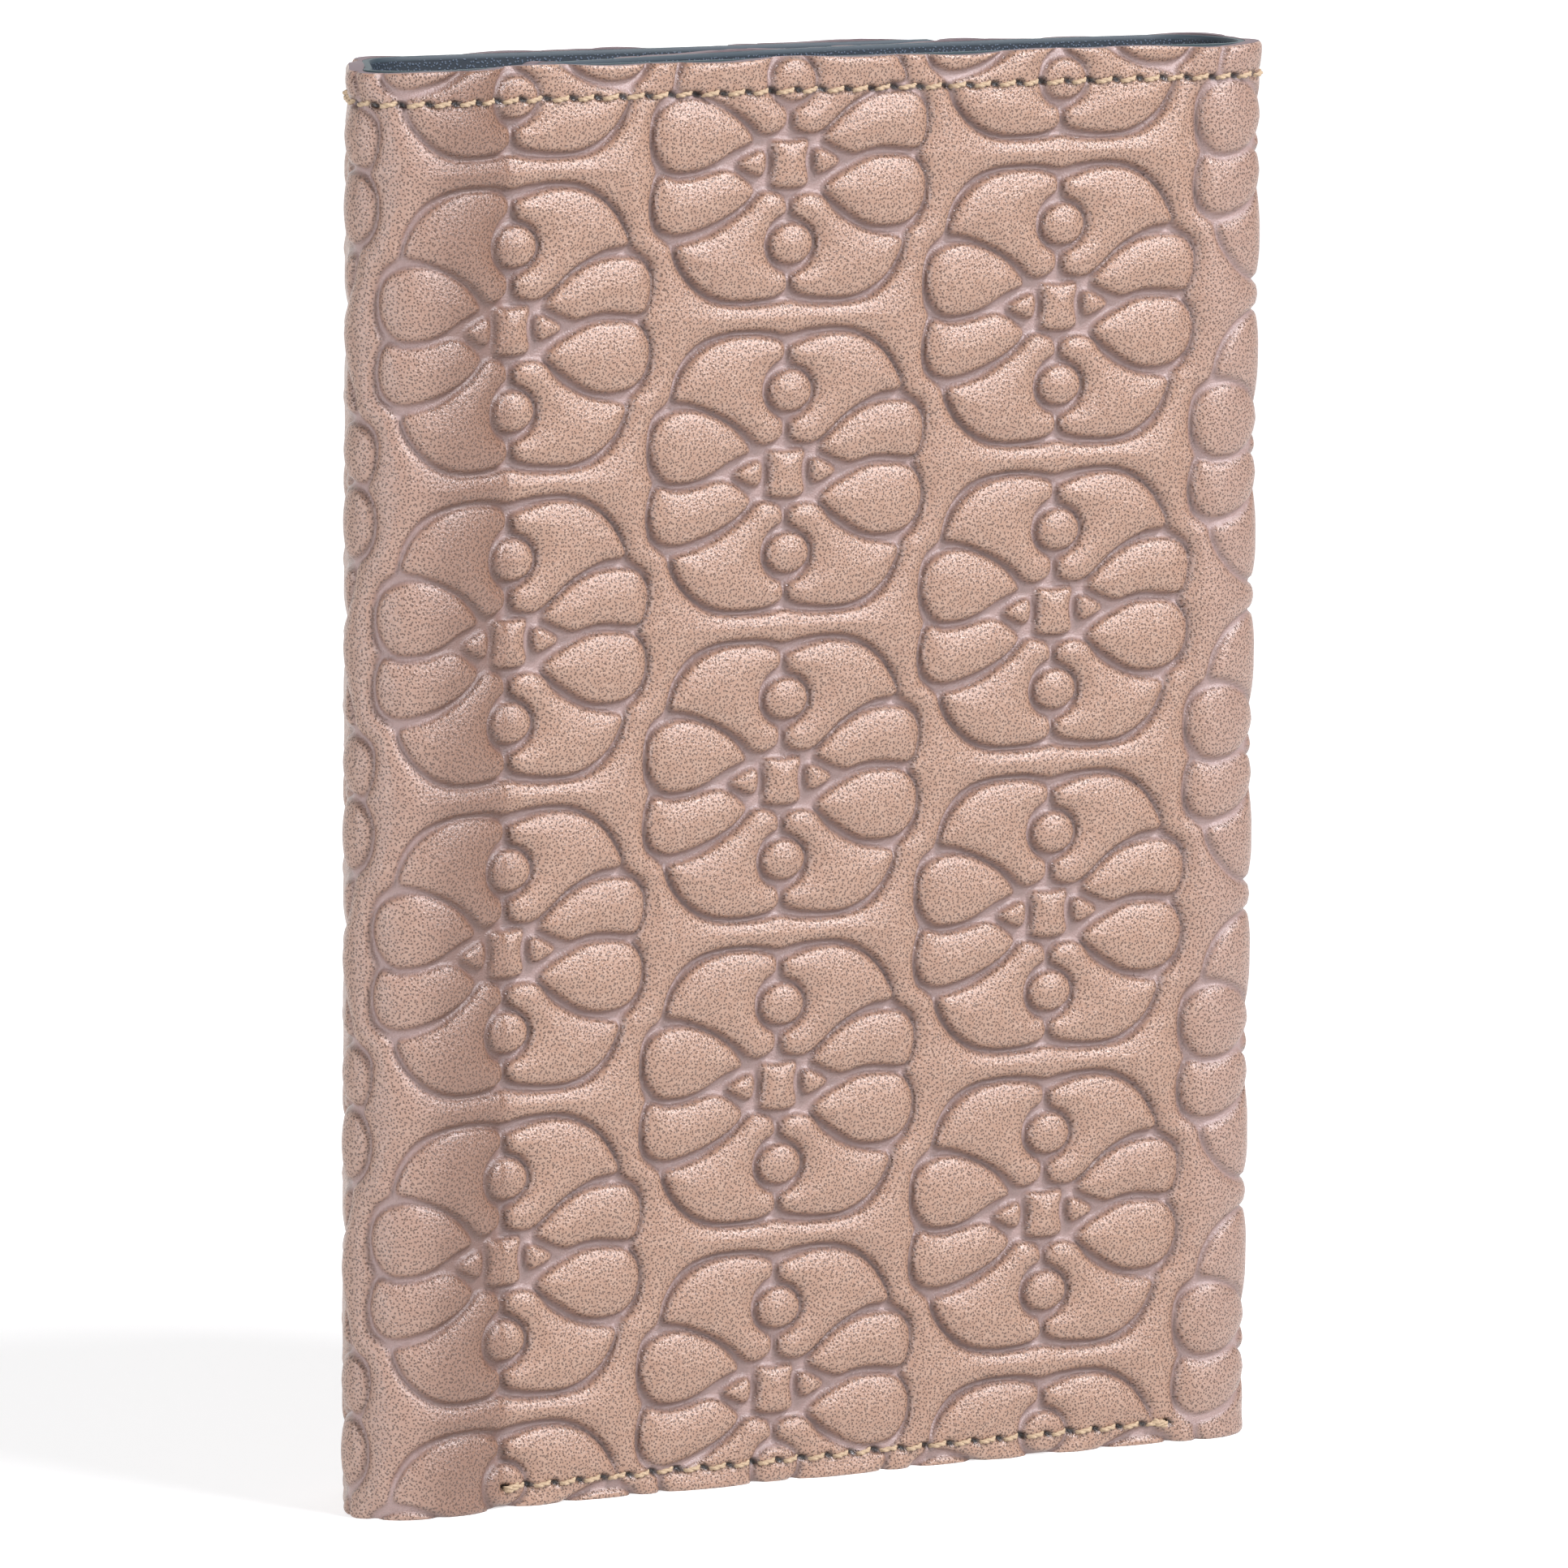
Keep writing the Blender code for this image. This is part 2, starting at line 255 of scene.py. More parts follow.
def smooth_step(x):
    x = np.clip(x, 0, 1)
    return x * x * (3 - 2 * x)


def hermite(points, before, after, steps):
    """A smooth line through the points, bending on into the points before and after it."""
    knots = [np.array(p, float) for p in points]
    first = np.array(before, float) if before else 2 * knots[0] - knots[1]
    last = np.array(after, float) if after else 2 * knots[-1] - knots[-2]
    ends = [first] + knots + [last]
    legs = [b - a for a, b in zip(ends, ends[1:])]
    legs = [leg / np.linalg.norm(leg) for leg in legs]
    headings = [(a + b) / np.linalg.norm(a + b) for a, b in zip(legs, legs[1:])]
    line = []
    for i, (here, there) in enumerate(zip(knots, knots[1:])):
        pull = np.linalg.norm(there - here)
        for t in np.linspace(0, 1, steps, endpoint=False):
            line.append(
                here * (2 * t**3 - 3 * t**2 + 1)
                + there * (3 * t**2 - 2 * t**3)
                + headings[i] * pull * (t**3 - 2 * t**2 + t)
                + headings[i + 1] * pull * (t**3 - t**2)
            )
    return line


# Spacing of the plan line, and the reach over which its bends are softened
SAMPLE = 0.1
SOFTEN = 0.6


def plan_line():
    """The outer face in plan at an even spacing, with its length measured from the crease."""
    steps = 24
    line = hermite(BACK_FLAP, None, LEFT_FOLD[1], steps)
    line += hermite(LEFT_FOLD, BACK_FLAP[-2], None, steps)
    crease = len(line)
    line += hermite(FRONT_PANEL, None, None, steps)
    line += hermite(RIGHT_FOLD, None, INNER_FLAP[1], steps)
    line += hermite(INNER_FLAP, RIGHT_FOLD[-2], None, steps)
    line.append(np.array(INNER_FLAP[-1], float))
    line = np.array(line)
    length = np.concatenate([[0], np.cumsum(np.linalg.norm(np.diff(line, axis=0), axis=1))])
    length -= length[crease]
    s = np.arange(length[0], length[-1], SAMPLE)
    s[-1] = length[-1]
    even = np.stack([np.interp(s, length, line[:, 0]), np.interp(s, length, line[:, 1])], 1)
    reach = int(3 * SOFTEN / SAMPLE)
    weights = np.exp(-0.5 * (np.arange(-reach, reach + 1) * SAMPLE / SOFTEN) ** 2)
    weights /= weights.sum()
    head = 2 * even[0] - even[reach:0:-1]
    tail = 2 * even[-1] - even[-2 : -reach - 2 : -1]
    padded = np.concatenate([head, even, tail])
    soft = np.stack([np.convolve(padded[:, k], weights, "valid") for k in (0, 1)], 1)
    return s, soft


LINE_S, LINE_XY = plan_line()
START, END = LINE_S[0], LINE_S[-1]
_along = np.gradient(LINE_XY, axis=0)
_along /= np.linalg.norm(_along, axis=1)[:, None]
LINE_OUT = np.stack([_along[:, 1], -_along[:, 0]], 1)


def length_at(point):
    """Length along the cover where it passes nearest this point in plan."""
    return LINE_S[np.argmin(np.linalg.norm(LINE_XY - np.array(point), axis=1))]


def place(s, z, lift):
    """Points on the cover: length s along it, height z, lift outwards from its outer face."""
    s, z, lift = np.broadcast_arrays(s, z, lift)
    x = np.interp(s, LINE_S, LINE_XY[:, 0]) + lift * np.interp(s, LINE_S, LINE_OUT[:, 0])
    y = np.interp(s, LINE_S, LINE_XY[:, 1]) + lift * np.interp(s, LINE_S, LINE_OUT[:, 1])
    return np.stack([x + ORIGIN_X, y + ORIGIN_Y, z + FLOOR_Z], -1) * MM


MID_LEFT_BACK = length_at((-12.1, 11.0))
MID_LEFT_FRONT = length_at((-7.5, -1.7))
RIGHT_START = length_at((70.0, 0.0))
MID_RIGHT = length_at((85.1, 7.0))
RIGHT_END = length_at((76.0, 15.6))
BACK_CREASE = length_at((-8.0, 17.4))

# Each piece: its two ends along the cover, the bodies it joins, and where it bends between them
PIECES = {
    "back_flap": (START, MID_LEFT_BACK, "back_flap", "left_fold_back", (-5.0, 18.6), (-10.8, 14.0)),
    "left_fold": (
        MID_LEFT_BACK,
        MID_LEFT_FRONT,
        "left_fold_back",
        "left_fold_front",
        (-12.1, 11.0),
        (-8.5, -1.7),
    ),
    "front": (MID_LEFT_FRONT, RIGHT_START, "left_fold_front", "front_panel", (-5.0, -1.3), (2.5, 0.3)),
    "right_fold": (RIGHT_START, MID_RIGHT, "front_panel", "right_fold", (71.5, 0.0), (78.5, -0.4)),
    "inner_flap": (MID_RIGHT, END, "right_fold", "inner_flap", (80.5, 14.9), (72.5, 15.6)),
}
REPLACED = {
    "back_flap": ["back_flap"],
    "left_fold": ["left_fold_back", "left_fold_front"],
    "front": ["front"],
    "right_fold": ["right_fold"],
    "inner_flap": ["inner_flap"],
}


def bend(obj):
    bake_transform(obj)


def corner_drop(s):
    """How far the top and bottom edges draw in at the rounded free ends."""
    from_end = np.minimum(s - START, END - s)
    inside = np.clip(CORNER_RADIUS - from_end, 0, CORNER_RADIUS)
    return CORNER_RADIUS - np.sqrt(CORNER_RADIUS**2 - inside**2)


def top_seam_holes():
    """Lengths along the cover at which the top seam has its needle holes."""
    first = START + SEAM_INSET
    count = int((END - SEAM_INSET - first) / STITCH)
    return first + STITCH * np.arange(count + 1)


def bottom_seam_holes(low, high):
    count = int(round((high - low) / STITCH))
    return np.linspace(low, high, count + 1)


FRONT_SEAM = bottom_seam_holes(-0.3, length_at((74.0, 0.0)))
BACK_SEAM = bottom_seam_holes(START + SEAM_INSET, BACK_CREASE - 1.0)
INNER_SEAM = bottom_seam_holes(RIGHT_END + 1.0, END - SEAM_INSET)
EDGE_SEAM = np.linspace(SEAM_BOTTOM, SEAM_TOP, int((SEAM_TOP - SEAM_BOTTOM) / STITCH) + 1)


def holes_of(piece):
    """(length, height) of every needle hole within reach of the piece."""
    low, high = PIECES[piece][:2]
    holes = [(s, SEAM_TOP) for s in top_seam_holes()]
    holes += [(s, SEAM_BOTTOM) for s in np.concatenate([FRONT_SEAM, BACK_SEAM, INNER_SEAM])]
    for s in (START + SEAM_INSET, END - SEAM_INSET):
        holes += [(s, z) for z in EDGE_SEAM[1:-1]]
    return [(s, z) for s, z in holes if low - 1 < s < high + 1]


def relief_scale(s):
    """Relief of the pattern along the cover: pulled shallower round the right fold."""
    into_fold = smooth_step((s - RIGHT_START - 2) / 9)
    on_left = smooth_step((0.5 - s) / 3)
    return 1 - 0.45 * into_fold + 0.25 * smooth_step((s - RIGHT_END) / 10) - 0.3 * on_left


def seam_press(z):
    """How much of the relief is left near the seams, where the layers are sewn down."""
    from_top = np.abs(z - SEAM_TOP)
    from_bottom = np.abs(z - SEAM_BOTTOM)
    near = np.minimum(from_top, from_bottom)
    return 0.45 + 0.55 * smooth_step(near / 2.6)


# Across a pad, from its outline: half the groove, the steep wall and the dome, and their depths
GROOVE = 0.26
WALL = 0.46
DOME = 4.0
GROOVE_DEPTH = 0.6
CREASE_DEPTH = 0.16


def relief(s, z):
    """Lift of the outer face, how much of the point is pad, and how near it is to the foot of a pad's
    wall, where shade is painted.
    """
    d = pattern_at(s, z)
    wall = smooth_step((d + GROOVE) / WALL)
    rise = 1 - np.clip((d + GROOVE) / DOME, 0, 1)
    lift = 0.25 * wall + 0.75 * np.sqrt(1 - rise**2) - GROOVE_DEPTH
    lift = RELIEF * relief_scale(s) * seam_press(z) * lift
    # side: where painted shade goes, along the foot of each pad's wall in the groove
    side = np.exp(-(((d + 0.08) / 0.16) ** 2))
    lift -= CREASE_DEPTH * np.exp(-(((s + 0.5) / 0.5) ** 2))
    return lift, smooth_step((d + 0.25) / 0.3), side


HOLE_LEAN = math.radians(-20)
HOLE_LONG = 0.55
HOLE_WIDE = 0.3
HOLE_REACH = 1.2
HOLE_DEPTH = 0.45


def hole_mask(s, z, holes):
    """1 inside a needle hole, fading to 0 outside it."""
    mask = np.zeros(s.shape)
    for hs, hz in holes:
        cols = np.abs(s[:, 0] - hs) < HOLE_REACH
        rows = np.abs(z[0] - hz) < HOLE_REACH
        if not cols.any() or not rows.any():
            continue
        at = np.ix_(cols, rows)
        du, dv = s[at] - hs, z[at] - hz
        along = du * math.cos(HOLE_LEAN) + dv * math.sin(HOLE_LEAN)
        across = -du * math.sin(HOLE_LEAN) + dv * math.cos(HOLE_LEAN)
        inside = 1.5 * np.exp(-((along / HOLE_LONG) ** 2) - (across / HOLE_WIDE) ** 2)
        mask[at] = np.maximum(mask[at], np.clip(inside, 0, 1))
    return mask


def rows_of(step):
    """Heights of the grid rows, closer together at the edges and along the seams."""
    rows = list(np.arange(0, HEIGHT, step)) + [HEIGHT]
    for seam in (SEAM_BOTTOM, SEAM_TOP):
        rows += list(np.arange(seam - 0.7, seam + 0.7, 0.12))
    for edge in (0.1, 0.22, 0.36):
        rows += [edge, HEIGHT - edge]
    rows = np.unique(np.round(rows, 3))
    keep = np.concatenate([[True], np.diff(rows) > 0.05])
    keep[-1] = True
    return rows[keep]


def add_mesh(name, points, faces, materials):
    mesh = bpy.data.meshes.new(name)
    mesh.from_pydata(points, [], faces)
    for material in materials:
        mesh.materials.append(material)
    obj = bpy.data.objects.new(name, mesh)
    bpy.context.scene.collection.objects.link(obj)
    return obj


def slab_faces(columns, rows):
    """Faces of a slab: a grid on its near side, two long edges on its far side, and its ends."""
    i, j = np.meshgrid(np.arange(columns - 1), np.arange(rows - 1), indexing="ij")
    a = (i * rows + j).ravel()
    near = np.stack([a, a + rows, a + rows + 1, a + 1], 1).tolist()
    low, high = columns * rows, columns * rows + columns
    rest = []
    for k in range(columns - 1):
        top, next_top = k * rows + rows - 1, (k + 1) * rows + rows - 1
        rest.append((low + k, high + k, high + k + 1, low + k + 1))
        rest.append((k * rows, low + k, low + k + 1, (k + 1) * rows))
        rest.append((top, next_top, high + k + 1, high + k))
    last = (columns - 1) * rows
    rest.append(tuple(range(rows)) + (high, low))
    rest.append(tuple(range(last + rows - 1, last - 1, -1)) + (low + columns - 1, high + columns - 1))
    return near, rest


def set_attribute(obj, name, values, kind="FLOAT"):
    attribute = obj.data.attributes.new(name, kind, "POINT")
    key = "vector" if kind == "FLOAT_VECTOR" else "value"
    attribute.data.foreach_set(key, np.asarray(values, np.float32).ravel())


def finish_slab(obj, near_count):
    """The near side is smooth in the first material, and the edges are flat in the second."""
    count = len(obj.data.polygons)
    smooth = np.arange(count) < near_count
    obj.data.polygons.foreach_set("use_smooth", smooth)
    obj.data.polygons.foreach_set("material_index", (~smooth).astype(np.int32))
    edges = np.empty(len(obj.data.loops), np.int32)
    obj.data.loops.foreach_get("edge_index", edges)
    sharp = np.zeros(len(obj.data.edges), bool)
    sharp[edges[obj.data.polygons[near_count].loop_start :]] = True
    obj.data.edges.foreach_set("use_edge_sharp", sharp)
    obj.data.update()


def add_leather(piece, step):
    """One piece of the outer leather, with the pattern pressed into its face."""
    low, high = PIECES[piece][:2]
    columns = np.linspace(low, high, int((high - low) / step) + 1)
    rows = rows_of(step)
    s, z = np.meshgrid(columns, rows, indexing="ij")
    drop = corner_drop(s)
    z = drop + z / HEIGHT * (HEIGHT - 2 * drop)
    lift, pad, side = relief(s, z)
    hole = hole_mask(s, np.broadcast_to(rows, s.shape), holes_of(piece))
    lift = lift - HOLE_DEPTH * hole
    edge = np.minimum(z - drop, HEIGHT - drop - z)
    lift = lift - 0.3 * np.exp(-edge / 0.22)
    wave = 0.13 * np.sin(s * 0.21 + 1) + 0.09 * np.sin(s * 0.47)
    z = z + wave * np.exp(-(HEIGHT - z) / 3)
    face = place(s, z, lift).reshape(-1, 3)
    back_low = place(columns, corner_drop(columns), -LEATHER_BACK)
    back_high = place(columns, z[:, -1], -LEATHER_BACK)
    near, rest = slab_faces(len(columns), len(rows))
    points = np.concatenate([face, back_low, back_high])
    obj = add_mesh(f"{piece}_leather_skin", points, near + rest, [LEATHER, CUT_EDGE])
    finish_slab(obj, len(near))
    extra = np.zeros(2 * len(columns))
    flat = np.stack([s, z, 0 * s], -1).reshape(-1, 3)
    backs = np.stack([np.tile(columns, 2), np.repeat([0, HEIGHT], len(columns)), extra], -1)
    set_attribute(obj, "strip", np.concatenate([flat, backs]), "FLOAT_VECTOR")
    pad_share = pad * (0.35 + 0.65 * np.minimum(relief_scale(s), 1))
    # Painted shade over the left fold beside the crease, where the leather turns away from the light
    painted_fold_shade = smooth_step((s + 12) / 5) * smooth_step((1.4 - s) / 3.6)
    # side, hole and the fold mask carry painted shade into the leather's colour
    shares = {"pad": pad_share, "side": side * relief_scale(s), "hole": hole, "painted_fold_shade": painted_fold_shade}
    for name, values in shares.items():
        set_attribute(obj, name, np.concatenate([values.ravel(), extra]))
    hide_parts(*[f"{node}_leather" for node in REPLACED[piece]])
    bend(obj)


def add_lining(piece, step):
    """One piece of the lining, textured on the side away from the leather."""
    low, high = PIECES[piece][:2]
    columns = np.linspace(high, low, int((high - low) / step) + 1)
    rows = np.array([0, 0.2, 3, HEIGHT / 2, HEIGHT - 3, HEIGHT - LINING_BAND, HEIGHT - 0.2, HEIGHT])
    s, z = np.meshgrid(columns, rows, indexing="ij")
    drop = corner_drop(s)
    z = drop + z / HEIGHT * (HEIGHT - 2 * drop)
    edge = np.minimum(z - drop, HEIGHT - drop - z)
    lift = -LINING[1] + 0.12 * (edge < 0.1)
    face = place(s, z, lift).reshape(-1, 3)
    back_low = place(columns, corner_drop(columns), -LINING[0])
    back_high = place(columns, HEIGHT - corner_drop(columns), -LINING[0])
    near, rest = slab_faces(len(columns), len(rows))
    points = np.concatenate([face, back_low, back_high])
    obj = add_mesh(f"{piece}_lining_cloth", points, near + rest, [LINING_FACE, LINING_EDGE])
    finish_slab(obj, len(near))
    flat = np.stack([s, z, 0 * s], -1).reshape(-1, 3)
    extra = np.zeros(2 * len(columns))
    backs = np.stack([np.tile(columns, 2), np.repeat([0, HEIGHT], len(columns)), extra], -1)
    set_attribute(obj, "strip", np.concatenate([flat, backs]), "FLOAT_VECTOR")
    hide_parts(*[f"{node}_lining" for node in REPLACED[piece]])
    bend(obj)


# Each stitch: two plies wound round each other, arched between its needle holes
PLY_SIDES = 6
PLY_STEPS = 9
PLY_OFFSET = 0.62 * THREAD
PLY_TURN = 2.4 * math.pi
STITCH_RISE = 0.16
STITCH_DIVE = 0.5


def stitch_points(start, end, upright):
    """Two twisted plies from one needle hole to the next, given as (length, height) pairs."""
    t = np.linspace(0, 1, PLY_STEPS)
    (s0, z0), (s1, z1) = start, end
    s, z = s0 + (s1 - s0) * t, z0 + (z1 - z0) * t
    ground = relief(s, z)[0]
    rise = ground + STITCH_RISE - STITCH_DIVE * (2 * t - 1) ** 4
    across = (1.0, 0.0) if upright else (0.0, 1.0)
    plies = []
    for half in (0, math.pi):
        turn = half + t * PLY_TURN
        cs = s + across[0] * PLY_OFFSET * np.cos(turn)
        cz = z + across[1] * PLY_OFFSET * np.cos(turn)
        cl = rise + PLY_OFFSET * np.sin(turn)
        ring = np.linspace(0, 2 * math.pi, PLY_SIDES, endpoint=False)
        thick = THREAD * np.where((t == 0) | (t == 1), 0.5, 1.0)
        rs = cs[:, None] + across[0] * thick[:, None] * np.cos(ring)
        rz = cz[:, None] + across[1] * thick[:, None] * np.cos(ring)
        rl = cl[:, None] + thick[:, None] * np.sin(ring)
        plies.append(place(rs, rz, rl).reshape(-1, 3))
    return plies


def ply_faces(base):
    faces = []
    for k in range(PLY_STEPS - 1):
        for m in range(PLY_SIDES):
            n = (m + 1) % PLY_SIDES
            a, b = base + k * PLY_SIDES, base + (k + 1) * PLY_SIDES
            faces.append((a + m, b + m, b + n, a + n))
    last = base + (PLY_STEPS - 1) * PLY_SIDES
    faces.append(tuple(base + m for m in range(PLY_SIDES)))
    faces.append(tuple(last + m for m in range(PLY_SIDES - 1, -1, -1)))
    return faces


def outward(obj):
    """Turns every face of a closed mesh outwards."""
    work = bmesh.new()
    work.from_mesh(obj.data)
    bmesh.ops.recalc_face_normals(work, faces=work.faces)
    work.to_mesh(obj.data)
    work.free()


def add_thread(name, spans, nodes, upright=False):
    """Stitches between pairs of (length, height) points, as one object."""
    points, faces = [], []
    for start, end in spans:
        for ply in stitch_points(start, end, upright):
            faces += ply_faces(len(points))
            points += ply.tolist()
    obj = add_mesh(name, points, faces, [THREAD_MATERIAL])
    outward(obj)
    obj.data.polygons.foreach_set("use_smooth", [True] * len(obj.data.polygons))
    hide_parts(*nodes)
    return obj


# A stitch's lean across its seam at each end, and its distance from the middle of its hole
LEAN = 0.17
CLEAR = 0.48


def level_spans(holes, height):
    """Each stitch leaves the low side of its hole and climbs to the high side of the next."""
    return [((a + CLEAR, height - LEAN), (b - CLEAR, height + LEAN)) for a, b in zip(holes, holes[1:])]


def add_top_threads():
    spans = level_spans(top_seam_holes(), SEAM_TOP)
    for piece, (low, high, *_) in PIECES.items():
        mine = [span for span in spans if low <= (span[0][0] + span[1][0]) / 2 < high]
        nodes = [f"{node}_top_thread" for node in REPLACED[piece]]
        bend(add_thread(f"{piece}_top_stitches", mine, nodes))


def add_bottom_threads():
    knots = [FRONT_SEAM[0], FRONT_SEAM[-1]]
    spans = level_spans(FRONT_SEAM, SEAM_BOTTOM)
    for knot, towards in zip(knots, (1, -1)):
        for turn in (-0.28, 0.0):
            start = (knot - 0.1 * towards, SEAM_BOTTOM + turn - 0.1)
            end = (knot + 1.6 * towards, SEAM_BOTTOM + turn + 0.25)
            spans.append((start, end))
    obj = add_thread("front_bottom_stitches", spans, ["front_bottom_thread"])
    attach(obj, "front_panel")
    for body, holes in (("back_flap", BACK_SEAM), ("inner_flap", INNER_SEAM)):
        spans = level_spans(holes, SEAM_BOTTOM)
        obj = add_thread(f"{body}_bottom_stitches", spans, [f"{body}_bottom_thread"])
        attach(obj, body)


def add_edge_threads():
    for body, s in (("back_flap", START + SEAM_INSET), ("inner_flap", END - SEAM_INSET)):
        pairs = zip(EDGE_SEAM, EDGE_SEAM[1:])
        spans = [((s - LEAN, a + CLEAR), (s + LEAN, b - CLEAR)) for a, b in pairs]
        obj = add_thread(f"{body}_edge_stitches", spans, [f"{body}_edge_thread"], upright=True)
        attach(obj, body)


def add_sleeve(node, body):
    """A plain slip pocket on the lining, a little softer at its edges than a cut plate."""
    low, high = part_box(node)
    size = high - low
    mesh = bpy.data.meshes.new(f"{node}_pocket")
    corners = [
        (low.x + size.x * i, low.y + size.y * j, low.z + size.z * k)
        for i in (0, 1)
        for j in (0, 1)
        for k in (0, 1)
    ]
    faces = [(0, 1, 3, 2), (4, 6, 7, 5), (0, 4, 5, 1), (2, 3, 7, 6), (0, 2, 6, 4), (1, 5, 7, 3)]
    mesh.from_pydata(corners, [], faces)
    mesh.materials.append(SLEEVE)
    obj = bpy.data.objects.new(f"{node}_pocket", mesh)
    bpy.context.scene.collection.objects.link(obj)
    bevel = obj.modifiers.new("soft edges", "BEVEL")
    bevel.width = SLEEVE_ROUND
    bevel.segments = 2
    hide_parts(node)
    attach(obj, body)


def srgb(red, green, blue):
    """A linear colour from 0 to 255 display values."""
    values = [c / 255 for c in (red, green, blue)]
    return tuple(c / 12.92 if c < 0.04045 else ((c + 0.055) / 1.055) ** 2.4 for c in values) + (1,)


class Nodes:
    """Short calls for building a material's nodes."""

    def __init__(self, name):
        self.material = bpy.data.materials.new(name)
        self.material.use_nodes = True
        self.tree = self.material.node_tree
        self.shader = self.tree.nodes["Principled BSDF"]

    def add(self, kind, links=(), **settings):
        node = self.tree.nodes.new(kind)
        for key, value in settings.items():
            setattr(node, key, value)
        for socket, value in links:
            self.put(node.inputs[socket], value)
        return node

    def put(self, socket, value):
        if hasattr(value, "is_linked"):
            self.tree.links.new(value, socket)
        else:
            socket.default_value = value

    def attribute(self, name, output="Fac"):
        return self.add("ShaderNodeAttribute", attribute_name=name).outputs[output]

    def maths(self, operation, a, b=0.0, clamp=False):
        return self.add(
            "ShaderNodeMath", [(0, a), (1, b)], operation=operation, use_clamp=clamp
        ).outputs[0]

    def between(self, value, low, high, to_low=0.0, to_high=1.0):
        """value from low..high mapped smoothly onto to_low..to_high."""
        return self.add(
            "ShaderNodeMapRange",
            [
                ("Value", value),
                ("From Min", low),
                ("From Max", high),
                ("To Min", to_low),
                ("To Max", to_high),
            ],
            interpolation_type="SMOOTHSTEP",
        ).outputs["Result"]

    def mix(self, share, a, b):
        node = self.add("ShaderNodeMix", data_type="RGBA")
        self.put(node.inputs["Factor"], share)
        self.put(node.inputs["A_Color" if "A_Color" in node.inputs else 6], a)
        self.put(node.inputs["B_Color" if "B_Color" in node.inputs else 7], b)
        return node.outputs[2]

    def noise(self, where, scale, detail=2.0):
        return self.add(
            "ShaderNodeTexNoise", [("Vector", where), ("Scale", scale), ("Detail", detail)]
        ).outputs["Fac"]

    def cells(self, where, scale, turn=0.0, stretch=1.0):
        """Distance to the nearest of a scatter of points, which may be drawn out to one side."""
        mapped = self.add(
            "ShaderNodeMapping",
            [("Vector", where), ("Rotation", (0, 0, turn)), ("Scale", (1, stretch, 1))],
        ).outputs[0]
        return self.add(
            "ShaderNodeTexVoronoi", [("Vector", mapped), ("Scale", scale)], voronoi_dimensions="2D"
        ).outputs["Distance"]

    def bump(self, height, distance, strength=1.0):
        node = self.add(
            "ShaderNodeBump", [("Height", height), ("Distance", distance), ("Strength", strength)]
        )
        self.put(self.shader.inputs["Normal"], node.outputs[0])

    def set(self, **values):
        for key, value in values.items():
            self.put(self.shader.inputs[key.replace("_", " ")], value)
        return self.material


def leather_material():
    """Tan leather: pored pads, smoother pinkish grooves, and painted shade at the foot of the pad walls,
    in the needle holes and over the left fold.
    """
    n = Nodes("embossed leather")
    where = n.attribute("strip", "Vector")
    pad = n.attribute("pad")
    tone = n.noise(where, 0.12, 3.0)
    cloud = n.noise(where, 0.9, 3.0)
    grain = n.noise(where, 5.0, 3.0)
    size = n.between(cloud, 0.25, 0.75, 0.2, 0.28)
    pore = n.cells(where, 3.3, 0.6, 0.9)
    pore = n.between(n.maths("SUBTRACT", size, pore), -0.05, 0.05)
    deep = n.maths("MULTIPLY", pore, n.between(pad, 0.2, 0.7))
    pads = n.mix(tone, srgb(157, 124, 103), srgb(146, 114, 95))
    pads = n.mix(n.between(cloud, 0.35, 0.75), pads, srgb(162, 132, 113))
    floor = n.mix(grain, srgb(155, 131, 125), srgb(138, 115, 109))
    colour = n.mix(pad, floor, pads)
    # Painted shade: the left fold beside the crease darkened, standing in for the light falling away
    # there
    painted_fold_shade = n.attribute("painted_fold_shade")
    fold_shade_colour = n.mix(pad, srgb(100, 72, 60), srgb(124, 91, 72))
    colour = n.mix(n.maths("MULTIPLY", painted_fold_shade, 0.8), colour, fold_shade_colour)
    # Painted shade: the foot of each pad's wall darkened, standing in for its shadow
    colour = n.mix(n.maths("MULTIPLY", n.attribute("side"), 0.45), colour, srgb(70, 44, 34))
    colour = n.mix(n.maths("MULTIPLY", deep, 0.72), colour, srgb(78, 52, 40))
    # Painted shade: the needle holes filled nearly black, for the shade inside them
    colour = n.mix(n.attribute("hole"), colour, srgb(24, 14, 10))
    rough = n.between(pad, 0.0, 1.0, 0.48, 0.33)
    height = n.maths("SUBTRACT", n.maths("MULTIPLY", grain, 0.5), deep)
    n.bump(height, 0.2 * MM)
    return n.set(Base_Color=colour, Roughness=rough, Specular_IOR_Level=0.9)


def cut_edge_material():
    n = Nodes("cut leather edge")
    where = n.attribute("strip", "Vector")
    colour = n.mix(n.noise(where, 1.2), srgb(120, 104, 106), srgb(96, 84, 88))
    return n.set(Base_Color=colour, Roughness=0.7)


def lining_material():
    """Slate lining: a pebbled face with painted highlights on the pebbles, plain along its top edge."""
    n = Nodes("lining face")
    where = n.attribute("strip", "Vector")
    height = n.add("ShaderNodeSeparateXYZ", [(0, where)]).outputs["Y"]
    below = n.between(height, HEIGHT - LINING_BAND, HEIGHT - LINING_BAND + 0.1, 1.0, 0.0)
    pebble = n.cells(where, 2.6)
    # Painted highlights: pale blue specks on the pebbles stand in for glints of light off the grain
    painted_glint = n.maths("MULTIPLY", n.between(pebble, 0.12, 0.34, 1.0, 0.0), below)
    dark = n.mix(n.noise(where, 0.4), srgb(34, 42, 52), srgb(42, 54, 62))
    colour = n.mix(below, srgb(48, 62, 70), dark)
    colour = n.mix(n.maths("MULTIPLY", painted_glint, 0.55), colour, srgb(104, 120, 140))
    n.bump(painted_glint, 0.05 * MM)
    return n.set(Base_Color=colour, Roughness=0.6)


